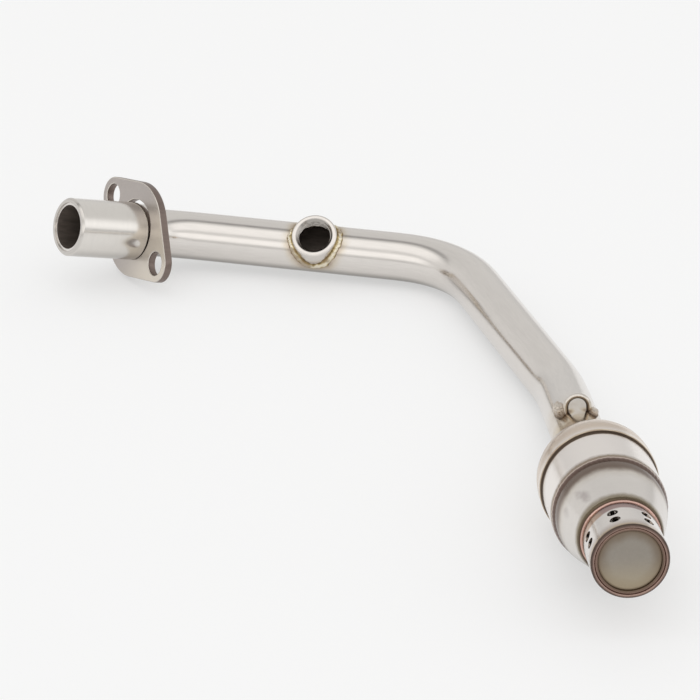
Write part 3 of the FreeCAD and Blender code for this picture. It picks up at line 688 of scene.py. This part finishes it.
# Bent pipe, with the sensor hole under the boss
def build_pipe():
    segments, step, ease, tail_hold, near_boss = 128, 2.4, 14.0, 6.0, (125.0, 160.0)
    hole_reach, hole_side, snap, straight_to, straight_over = 12.0, 2.0, 0.55, 8.5, 3.4
    weld_run, weld_arc, weld_size = 14.4, 18.1, 15.0
    across = LEG_WAY.cross(BOSS_WAY)

    def near_hole(run, side, radius):
        rise = math.sqrt(radius ** 2 - side ** 2)
        return BOSS_FOOT + LEG_WAY * run + across * side + BOSS_WAY * rise

    corners = [MOUTH + INLET_WAY * MOUTH_SETBACK, INLET_CORNER, LEG_CORNER, TAIL_CORNER,
               CAP_START + TAIL_WAY * tail_hold]
    line = eased(stations(corners, BEND_RADII, near_boss, step), ease)
    outer, outer_lay = tube_rings(line, PIPE_R, segments)
    inner, inner_lay = tube_rings(line, PIPE_BORE_R, segments)
    open_at = set()
    for index, point in enumerate(outer):
        arm = point - BOSS_FOOT
        run, side = arm.dot(LEG_WAY), arm.dot(across)
        spread = math.hypot(run, side)
        if arm.dot(BOSS_WAY) < hole_side or spread > hole_reach:
            continue
        if abs(spread - BOSS_BORE_R) < snap:
            run, side, spread = run * BOSS_BORE_R / spread, side * BOSS_BORE_R / spread, BOSS_BORE_R
            outer[index] = near_hole(run, side, PIPE_R)
        share = min(1.0, max(0.0, (spread - straight_to) / straight_over))
        side *= 1.0 - (1.0 - PIPE_BORE_R / PIPE_R) * share * share * (3 - 2 * share)
        inner[index] = near_hole(run, side, PIPE_BORE_R)
        if spread <= BOSS_BORE_R + 1e-6:
            open_at.add(index)
    gap_to_weld = []
    for point in outer + inner:
        arm = point - BOSS_FOOT
        arc = PIPE_R * math.atan2(abs(arm.dot(across)), arm.dot(BOSS_WAY))
        gap_to_weld.append((math.hypot(arm.dot(LEG_WAY) / weld_run, arc / weld_arc) - 1) * weld_size * MM)
    faces = walled_faces(len(line), segments, open_at)
    pipe = add_piece("bent_pipe", outer + inner, outer_lay + inner_lay, faces, ["header_pipe"],
                     "satin_stainless", PIPE_STEEL, 50, gap_to_weld)
    pipe.data.materials.append(BORE_SCALE)
    reach = [math.hypot(*v.vector.xy) / MM for v in pipe.data.attributes["lay"].data]
    for face in pipe.data.polygons:
        if max(reach[i] for i in face.vertices) < (PIPE_R + PIPE_BORE_R) / 2:
            face.material_index = 1


# Inlet sleeve with its turned mouth
def build_sleeve():
    profile = rounded([
        (PIPE_R, 0, 0.3), (SLEEVE_R - 1.0, 0, 0.5), (SLEEVE_R, 1.0, 0.5), (SLEEVE_R, SEAT_START, 0),
        (SEAT_R, SEAT_START, 0), (SEAT_R, SLEEVE_END, 0.4), (PIPE_R, SLEEVE_END, 0)])
    spun("inlet_sleeve_turned", profile, INLET_PLACE, ["inlet_sleeve"], "turned_stainless", SLEEVE_STEEL, 176)


# Weld beads
RIPPLE_BOW, RIPPLE_MEAN = 9.6, 0.6


def rippled(angle, share, ripples):
    """Height of a weld's rounded face, and of the ripples on it, at a share of the way from toe to toe."""
    crest = abs(math.sin((ripples * angle + RIPPLE_BOW * (share - 0.5) ** 2) / 2))
    return math.sin(math.pi * share) ** 0.8, crest - RIPPLE_MEAN


def bead(name, start, stop, root, bulge, matrix, node, slot, finish, seed,
         pitch=2.2, relief=0.12, turns=420):
    """Rippled fillet weld round an axis, from one toe to the other over a rounded face."""
    steps, swell_size, swell_lumps, toe_size, toe_lumps = 12, 0.22, 5.0, 0.048, 14.0
    lean = Vector((stop[0] - start[0], stop[1] - start[1]))
    outward = Vector((lean.y, -lean.x)).normalized()
    middle = Vector(((start[0] + stop[0]) / 2 - root[0], (start[1] + stop[1]) / 2 - root[1]))
    if outward.dot(middle) < 0:
        outward.negate()
    ripples = round(2 * math.pi * max(start[0], stop[0]) / pitch)
    lays, shares = [], []
    for angle in round_turn(turns):
        swell = 1.0 + swell_size * wavy(angle, seed, swell_lumps)
        for step in range(steps + 1):
            share = step / steps
            face, crest = rippled(angle, share, ripples)
            lift = face * (bulge * swell + relief * crest)
            toe = toe_size * wavy(angle, seed + 7, toe_lumps) * (1 - face)
            at = Vector(start) + lean * (share + toe) + outward * lift
            lays.append(polar(at.x, angle, at.y))
            shares.append(share)
        lays.append(polar(root[0], angle, root[1]))
        shares.append(0.0)
    faces = grid_faces(turns, steps + 2)
    add_piece(name, placed(matrix, lays), lays, faces, [node], slot, finish, 70, shares)


def build_ring_welds():
    cup_r = SHELL_R - SHEET
    bead("sleeve_bead", (SEAT_R - 0.3, SLEEVE_END - 0.05), (PIPE_R - 0.05, SLEEVE_END + 2.3),
         (PIPE_R - 0.2, SLEEVE_END - 0.2), 0.35, INLET_PLACE, "sleeve_weld", "straw_weld", STRAW_WELD,
         seed=2.0)
    bead("inlet_bead", (PIPE_R - 0.05, -2.3), (PIPE_R + CAP_SHEET + 0.2, 0.9), (PIPE_R - 0.2, 0.3),
         0.4, CHAMBER_PLACE, "inlet_weld", "straw_weld", NECK_WELD, seed=3.0)
    bead("front_seam_bead", (LAP_R + CAP_SHEET - 0.3, FRONT_SEAM - 0.1), (LAP_R - 0.05, FRONT_SEAM + 1.7),
         (LAP_R - 0.2, FRONT_SEAM - 0.2), 0.16, CHAMBER_PLACE, "front_seam_weld", "dark_seam", SEAM_WELD,
         seed=4.0, pitch=2.0, relief=0.08, turns=640)
    bead("rear_seam_bead", (SHELL_R - 0.02, REAR_SEAM - 0.5), (cup_r - 0.03, REAR_SEAM + 4.6),
         (cup_r - 0.2, REAR_SEAM - 0.2), 0.36, CHAMBER_PLACE, "rear_seam_weld", "brown_weld", BAND_WELD,
         seed=5.0, pitch=2.3, relief=0.14, turns=640)
    bead("outlet_bead", (CUP_END_R - 0.02, CUP_END - 0.25), (TUBE_R - 0.03, CUP_END + 1.9),
         (TUBE_R - 0.2, CUP_END - 0.2), 0.35, CHAMBER_PLACE, "outlet_weld", "brown_weld", OUTLET_WELD,
         seed=6.0, pitch=2.1, relief=0.06, turns=520)


# Loose flange: a cut plate with two lobes
def build_flange():
    edge, arc_step, hole_step = 0.5, 0.9, 0.7
    flat_over, rim_over = 0.999, 0.3
    lean = math.acos((MIDDLE_R - LOBE_R) / STUD_REACH)
    outline = []

    def arc(x, radius, start, stop):
        count = max(8, round(abs(stop - start) * radius / arc_step))
        for step in range(count + 1):
            angle = start + (stop - start) * step / count
            outline.append((x + radius * math.cos(angle), radius * math.sin(angle)))

    arc(STUD_REACH, LOBE_R - edge, -lean, lean)
    arc(0, MIDDLE_R - edge, lean, math.pi - lean)
    arc(-STUD_REACH, LOBE_R - edge, math.pi - lean, math.pi + lean)
    arc(0, MIDDLE_R - edge, math.pi + lean, 2 * math.pi - lean)
    loops = [outline]
    for x, radius in ((STUD_REACH, STUD_HOLE_R), (-STUD_REACH, STUD_HOLE_R), (0, SEAT_R + FLANGE_PLAY)):
        wide = radius + edge
        loops.append([(x + wide * math.cos(angle), wide * math.sin(angle))
                      for angle in round_turn(round(2 * math.pi * radius / hole_step))])
    curve = bpy.data.curves.new("flange_outline", "CURVE")
    curve.dimensions = "2D"
    curve.fill_mode = "BOTH"
    curve.extrude = (FLANGE_THICK / 2 - edge) * MM
    curve.bevel_depth = edge * MM
    curve.bevel_resolution = 2
    for loop in loops:
        spline = curve.splines.new("POLY")
        spline.points.add(len(loop) - 1)
        for point, (x, y) in zip(spline.points, loop):
            point.co = (x * MM, y * MM, 0, 1)
        spline.use_cyclic_u = True
    holder = bpy.data.objects.new("flange_outline", curve)
    SCENE.collection.objects.link(holder)
    bpy.context.view_layer.update()
    mesh = bpy.data.meshes.new_from_object(holder.evaluated_get(bpy.context.evaluated_depsgraph_get()))
    bpy.data.objects.remove(holder)
    bpy.data.curves.remove(curve)
    mesh.name = "port_flange_plate"
    lay = mesh.attributes.new("lay", "FLOAT_VECTOR", "POINT")
    lay.data.foreach_set("vector", [c for v in mesh.vertices for c in v.co])
    matrix = place(FLANGE_AT, INLET_WAY, UP, FLANGE_TURN)
    for vertex in mesh.vertices:
        vertex.co = (matrix @ (vertex.co / MM + Vector((0, 0, FLANGE_THICK / 2)))) * MM
    work = bmesh.new()
    work.from_mesh(mesh)
    bmesh.ops.remove_doubles(work, verts=work.verts, dist=1e-6)
    bmesh.ops.recalc_face_normals(work, faces=work.faces)
    facing = INLET_WAY.normalized()
    for face in work.faces:
        square = abs(face.normal.dot(facing))
        face.smooth = square <= flat_over
        # Index 2 takes the painted highlight on the bevelled edge
        face.material_index = 0 if square > flat_over else 2 if square > rim_over else 1
    work.to_mesh(mesh)
    work.free()
    plate = bpy.data.objects.new("port_flange_plate", mesh)
    dress(plate, ["port_flange"], "flange_steel", PLATE_FACE, PLATE_EDGE, PLATE_EDGE_HIGHLIGHT)


# Threaded sensor boss, seated on the pipe, and the weld round its foot
def build_boss():
    segments, thread_pitch, thread_depth = 144, 1.5, 0.8
    wall_top, cone_foot, bore_top = 14.2, 14.85, BOSS_TOP - 0.1
    wall_steps, bore_steps, wall_sink, bore_sink = 5, 46, 0.4, 0.6
    rim = [(BOSS_R, wall_top), (BOSS_R, 15.4), (BOSS_R - 0.06, 15.75), (BOSS_R - 0.2, 16.15),
           (BOSS_R - 0.5, 16.42), (BOSS_R - 0.9, BOSS_TOP), (10.2, BOSS_TOP), (9.85, 16.46)]
    lays = []
    for angle in round_turn(segments):
        foot = math.sqrt(PIPE_R ** 2 - (BOSS_R * math.cos(angle)) ** 2) - wall_sink
        low = math.sqrt(PIPE_R ** 2 - (BOSS_BORE_R * math.cos(angle)) ** 2) - bore_sink
        row = [(BOSS_R, foot + (wall_top - foot) * step / wall_steps) for step in range(wall_steps)] + rim
        for step in range(bore_steps + 1):
            height = bore_top + (low - bore_top) * step / bore_steps
            cone = BOSS_BORE_R + max(0.0, height - cone_foot)
            phase = (height / thread_pitch - angle / (2 * math.pi)) % 1.0
            flank = min(1.0, max(0.0, (abs(phase - 0.5) * 2 - 0.1) / 0.8))
            row.append((max(cone, BOSS_BORE_R + thread_depth * flank), height))
        lays += [polar(radius, angle, height) for radius, height in row]
    faces = grid_faces(segments, len(lays) // segments)
    add_piece("sensor_boss_threaded", placed(BOSS_PLACE_MATRIX, lays), lays, faces, ["sensor_boss"],
              "turned_stainless", BOSS_STEEL, 60)


def build_boss_weld():
    turns, steps, ripples, leg, throat, sink = 480, 14, 30, 2.7, 1.7, 0.3
    across = LEG_WAY.cross(BOSS_WAY)

    def on_pipe(run, arc):
        angle = arc / PIPE_R
        return BOSS_FOOT + LEG_WAY * run + (across * math.sin(angle) + BOSS_WAY * math.cos(angle)) * PIPE_R

    def seam_at(angle):
        return BOSS_R * math.cos(angle), PIPE_R * math.asin(BOSS_R * math.sin(angle) / PIPE_R)

    points, shares = [], []
    for angle in round_turn(turns):
        seam, ahead = seam_at(angle), seam_at(angle + 0.01)
        slope = Vector((ahead[1] - seam[1], seam[0] - ahead[0])).normalized()
        width = leg * (1.0 + 0.3 * wavy(angle, 21.0, 5.0) + 0.12 * wavy(angle, 33.0, 14.0))
        toe = on_pipe(seam[0] + slope.x * width, seam[1] + slope.y * width)
        out = LEG_WAY * math.cos(angle) + across * math.sin(angle)
        wall = on_pipe(*seam) + BOSS_WAY * throat * (1.0 + 0.15 * wavy(angle, 25.0, 4.0))
        lean = seam[1] / PIPE_R
        normal = (across * math.sin(lean) + BOSS_WAY * math.cos(lean) + out).normalized()
        for step in range(steps + 1):
            share = step / steps
            face, crest = rippled(angle, share, ripples)
            lump = 0.5 * wavy(angle + 0.25 * share, 41.0, 11.0) + 0.25 * wavy(angle - 0.3 * share, 47.0, 24.0)
            lift = face * (0.62 + 0.34 * crest + 0.5 * lump)
            points.append(wall.lerp(toe, share) + normal * lift)
            shares.append(share)
        points.append(on_pipe(*seam) - out * sink - BOSS_WAY * sink)
        shares.append(0.0)
    lays = placed(BOSS_PLACE_MATRIX.inverted(), points)
    add_piece("sensor_boss_bead", points, lays, grid_faces(turns, steps + 2), ["sensor_boss_weld"],
              "straw_weld", STRAW_WELD, 70, shares)


# Spring hook and its two weld lumps
def build_hook():
    segments, leg_steps, arch_steps, foot = 40, 8, 36, 9.4
    centre = PIPE_R + HOOK_TOP - HOOK_WIRE_R - HOOK_HALF
    leg = [foot + (centre - foot) * step / leg_steps for step in range(leg_steps)]
    route = [Vector((-HOOK_HALF, height, 0)) for height in leg]
    for step in range(arch_steps + 1):
        angle = math.pi * step / arch_steps
        route.append(Vector((-HOOK_HALF * math.cos(angle), centre + HOOK_HALF * math.sin(angle), 0)))
    route += [Vector((HOOK_HALF, height, 0)) for height in reversed(leg)]
    line = placed(HOOK_MATRIX, route)
    points, lays, gone = [], [], 0.0
    for index, point in enumerate(line):
        before, after = line[max(0, index - 1)], line[min(len(line) - 1, index + 1)]
        side = (after - before).normalized().cross(TAIL_WAY).normalized()
        for angle in round_turn(segments):
            points.append(point + (TAIL_WAY * math.cos(angle) + side * math.sin(angle)) * HOOK_WIRE_R)
            lays.append(polar(HOOK_WIRE_R, angle, gone))
        gone += (after - point).length
    faces = grid_faces(len(line), segments, row_wrap=False)
    faces += [tuple(range(segments)), tuple(range(len(points) - segments, len(points)))]
    add_piece("spring_hook_rod", points, lays, faces, ["spring_hook"], "hook_steel", ROD_STEEL, 60)


def build_hook_weld(name, side, length, width, height, shift, seed):
    outside = 1.6
    foot_x = side * (HOOK_HALF + outside)
    foot_y = math.sqrt(PIPE_R ** 2 - foot_x ** 2)
    outward = HOOK_MATRIX.to_3x3() @ Vector((foot_x, foot_y, 0)).normalized()
    matrix = place(HOOK_MATRIX @ Vector((foot_x, foot_y, -shift)), outward, TAIL_WAY)
    work = bmesh.new()
    bmesh.ops.create_icosphere(work, subdivisions=5, radius=1.0)
    work.verts.index_update()
    lays, shares = [], []
    for vertex in work.verts:
        lump = 1.0 + 0.16 * noise.fractal(vertex.co * 1.6 + Vector((seed, 0, 0)), 0.8, 2.0, 3)
        lump += 0.05 * math.sin(vertex.co.y * length * 1.5 + vertex.co.x ** 2 * 3)
        lays.append(vertex.co * Vector((width / 2, length / 2, height)) * lump)
        shares.append(max(0.0, vertex.co.z))
    faces = [tuple(v.index for v in face.verts) for face in work.faces]
    work.free()
    add_piece(f"{name}_lump", placed(matrix, lays), lays, faces, [name], "brown_weld", LUMP_WELD, 80, shares)


# Chamber: cap, shell and cup
def build_chamber():
    turns, neck, skirt, cup_r = 208, PIPE_R + CAP_SHEET, LAP_R + CAP_SHEET, SHELL_R - SHEET
    cap = rounded([
        (PIPE_R, 0, 0), (neck, 0, 0.3), (neck, 3.0, 9.0), (skirt, CONE_END, 35.0), (skirt, FRONT_SEAM, 0.35),
        (LAP_R, FRONT_SEAM, 0), (LAP_R, CONE_END, 33.2), (PIPE_R, 3.0, 6.0)])
    shell = [(cup_r, SHELL_START), (LAP_R, SHELL_START), (LAP_R, LAP_END), (SHELL_R, LAP_END),
             (SHELL_R, 56.0), (SHELL_R, REAR_SEAM), (cup_r, REAR_SEAM)]
    cup = rounded([
        (cup_r - SHEET, REAR_SEAM - 6.0, 0), (cup_r, REAR_SEAM - 6.0, 0.2), (cup_r, CUP_SEAT, 30.0),
        (CUP_END_R, CUP_END, 0.5), (TUBE_R, CUP_END, 0), (TUBE_R, CUP_END - 1.5, 0),
        (cup_r - SHEET, CUP_SEAT, 28.8)])
    for name, profile, node in (("chamber_cap_spun", cap, "chamber_inlet_cap"),
                                ("chamber_shell_rolled", shell, "chamber_shell"),
                                ("outlet_cup_drawn", cup, "outlet_cup")):
        spun(name, profile, CHAMBER_PLACE, [node], "chamber_stainless", SHEET_STEEL, turns)


# Outlet tube with punched vents, and its closed end
def build_tube():
    turns, pitch, snap, hidden_rows = 240, 0.46, 0.36, 6
    hold, rim_room = 18.0, 1.0
    start, stop = CUP_END - hold, TUBE_END - rim_room
    shown_rows = round((stop - CUP_END) / pitch)
    rows = [start + (CUP_END - start) * i / hidden_rows for i in range(hidden_rows)]
    rows += [CUP_END + (stop - CUP_END) * i / shown_rows for i in range(shown_rows + 1)]
    centres = []
    for number in range(VENT_COUNT):
        angle = math.radians(90 + VENT_TURN + 360 / VENT_COUNT * number)
        centres += [(angle, TUBE_END - height) for height in VENT_PLACES]
    flat, open_at = [], set()
    for height in rows:
        for turn in range(turns):
            angle, up = 2 * math.pi * turn / turns, height
            for vent_angle, vent_up in centres:
                side = (angle - vent_angle + math.pi) % (2 * math.pi) - math.pi
                run, rise = side * TUBE_R, up - vent_up
                spread = math.hypot(run, rise)
                if abs(spread - VENT_R) < snap and spread > 0:
                    angle = vent_angle + run * VENT_R / spread / TUBE_R
                    up = vent_up + rise * VENT_R / spread
                    spread = VENT_R
                if spread <= VENT_R + 1e-6:
                    open_at.add(len(flat))
                    break
            flat.append((angle, up))
    lays = [polar(radius, angle, up) for radius in (TUBE_R, TUBE_BORE_R) for angle, up in flat]
    faces = walled_faces(len(rows), turns, open_at)
    add_piece("outlet_tube_punched", placed(CHAMBER_PLACE, lays), lays, faces, ["outlet_tube"],
              "vented_tube", TUBE_STEEL, 45)


def build_end():
    disc_r, lip_r, inner_r, outer_r, bow_r = 13.9, 13.75, 14.75, 16.4, 14.7
    turns, ripples, disc_steps, dish, face = 480, 52, 20, 0.35, END_FACE
    disc = [(0, face - 1.5), (TUBE_BORE_R, face - 1.5), (TUBE_BORE_R, face + 0.1)]
    for step in range(disc_steps + 1):
        share = 1 - step / disc_steps
        disc.append((disc_r * share, face - dish + dish * share ** 6))
    spun("end_disc_pressed", disc, CHAMBER_PLACE, ["end_cap"], "tinted_end", END_DISC, 160)
    root_r = TUBE_BORE_R - 0.1
    section = [(root_r, face - 0.3), (root_r, TUBE_END - 1.2), (TUBE_R, TUBE_END - 1.05)]
    for step in range(1, 12):
        angle = math.pi * step / 14
        section.append((outer_r + 0.92 * math.cos(angle), TUBE_END - 0.98 + 0.96 * math.sin(angle)))
    for step in range(13):
        angle = math.pi * (0.12 + 0.88 * step / 12)
        section.append((inner_r + 0.85 * math.cos(angle), TUBE_END - 1.1 + 0.72 * math.sin(angle)))
    section.append((lip_r, face - 0.25))
    lays, shares = [], []
    for angle in round_turn(turns):
        for radius, height in section:
            inner = max(0.0, 1 - abs(radius - inner_r))
            crest = abs(math.sin((ripples * angle + (radius - bow_r) ** 2) / 2)) - RIPPLE_MEAN
            height += inner * (0.06 * crest + 0.05 * wavy(angle, 31.0, 4.0))
            lays.append(polar(radius, angle, height))
            shares.append((radius - lip_r) / (TUBE_R - lip_r))
    faces = grid_faces(turns, len(section))
    add_piece("end_rim_bead", placed(CHAMBER_PLACE, lays), lays, faces, ["end_cap_weld"], "brown_weld",
              RIM_WELD, 70, shares)


build_pipe()
build_sleeve()
build_ring_welds()
build_flange()
build_boss()
build_boss_weld()
build_hook()
build_hook_weld("hook_weld_left", -1, 13.0, 7.0, 4.6, 4.5, 3.0)
build_hook_weld("hook_weld_right", 1, 8.0, 5.0, 2.8, -0.5, 9.0)
build_chamber()
build_tube()
build_end()
for inner_name in ("catalyst_core", "catalyst_mantle"):
    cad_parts[inner_name].data.materials.clear()
    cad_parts[inner_name].data.materials.append(FOIL)


# Floor, light and camera
def build_floor():
    half, gap = 4.0, 0.0001
    level = cad_box[0][2] - gap
    corners = [(-half, -half, level), (half, -half, level), (half, half, level), (-half, half, level)]
    mesh = bpy.data.meshes.new("pale_floor")
    mesh.from_pydata(corners, [], [(0, 1, 2, 3)])
    floor = bpy.data.objects.new("pale_floor", mesh)
    SCENE.collection.objects.link(floor)
    paint = bpy.data.materials.new("pale_floor")
    paint.use_nodes = True
    shader = paint.node_tree.nodes["Principled BSDF"]
    for label, value in (("Base Color", (0.45, 0.45, 0.45, 1)), ("Emission Color", (1.0, 1.0, 0.995, 1)),
                         ("Emission Strength", 0.49), ("Roughness", 0.7), ("Specular IOR Level", 0.1)):
        shader.inputs[label].default_value = value
    mesh.materials.append(paint)


def softbox(name, at, target, width, depth, radiance):
    """Area lamp of a given brightness, turned to face a point."""
    lamp = bpy.data.lights.new(name, "AREA")
    lamp.shape = "RECTANGLE"
    lamp.size, lamp.size_y = width, depth
    lamp.energy = radiance * math.pi * width * depth
    obj = bpy.data.objects.new(name, lamp)
    obj.location = at
    obj.rotation_euler = (Vector(target) - Vector(at)).to_track_quat("-Z", "Y").to_euler()
    obj.visible_camera = False
    obj.visible_glossy = False
    SCENE.collection.objects.link(obj)


def build_light():
    """Bright and dark bands round the studio, a window at one side and a softbox over the part."""
    world = bpy.data.worlds.new("studio")
    SCENE.world = world
    world.use_nodes = True
    net = Net(world.node_tree)
    looking = net.node("TexCoord").outputs["Generated"]
    x, height = net.part(looking, "X"), net.math("ABSOLUTE", net.part(looking, "Z"))
    front = net.math("MULTIPLY", net.part(looking, "Y"), -1.0)
    turn = net.math("DIVIDE", net.math("ARCTAN2", height, front), math.pi)
    by_angle = [
        (0, 0.70), (9, 0.78), (14, 1.26), (32, 1.32), (40, 0.86), (47, 0.86), (55, 1.20), (84, 1.22),
        (95, 0.74), (101, 0.36), (105, 0.36), (112, 0.78), (160, 0.80), (180, 0.66)]
    warm = [(angle / 180, (level, level * 0.995, level * 0.985)) for angle, level in by_angle]
    studio = net.ramp(turn, warm)
    sideways = net.span(net.math("ABSOLUTE", x), 0.6, 0.97)
    studio = net.mix(sideways, studio, (0.86, 0.855, 0.845, 1))
    by_height = [
        (0.0, 0.34), (0.03, 0.40), (0.07, 0.85), (0.14, 1.16), (0.32, 1.26), (0.45, 1.10), (0.56, 0.90),
        (0.7, 0.86)]
    window = net.ramp(height, [(at, (level, level, level)) for at, level in by_height])
    studio = net.mix(net.span(x, 0.75, 0.9), studio, window)
    path = net.node("LightPath")
    seen = net.math("ADD", path.outputs["Is Camera Ray"], path.outputs["Is Glossy Ray"])
    seen = net.math("ADD", seen, path.outputs["Is Transmission Ray"], clamp=True)
    background = world.node_tree.nodes["Background"]
    net.feed(background.inputs["Color"], net.mix(seen, (0.91, 0.91, 0.91, 1), studio))
    softbox("top_softbox", (0.14, -0.56, 1.25), (0.14, -0.14, 0.0), 2.2, 0.62, 0.34)


def build_camera():
    data = bpy.data.cameras.new("photo_camera")
    data.sensor_width, data.sensor_fit = 36.0, "HORIZONTAL"
    data.lens = 174.844
    data.clip_end = 20.0
    camera = bpy.data.objects.new("photo_camera", data)
    right = Vector((0.98150672, 0.19141984, -0.00173326))
    up = Vector((-0.08475191, 0.44264909, 0.89268074))
    back = Vector((0.17164403, -0.87602525, 0.45068625))
    turn = Matrix((right, up, back)).transposed().to_4x4()
    camera.matrix_world = Matrix.Translation((0.42684, -1.58356, 0.75402)) @ turn
    SCENE.collection.objects.link(camera)
    SCENE.camera = camera


build_floor()
build_light()
build_camera()
SCENE.view_settings.view_transform = "Standard"
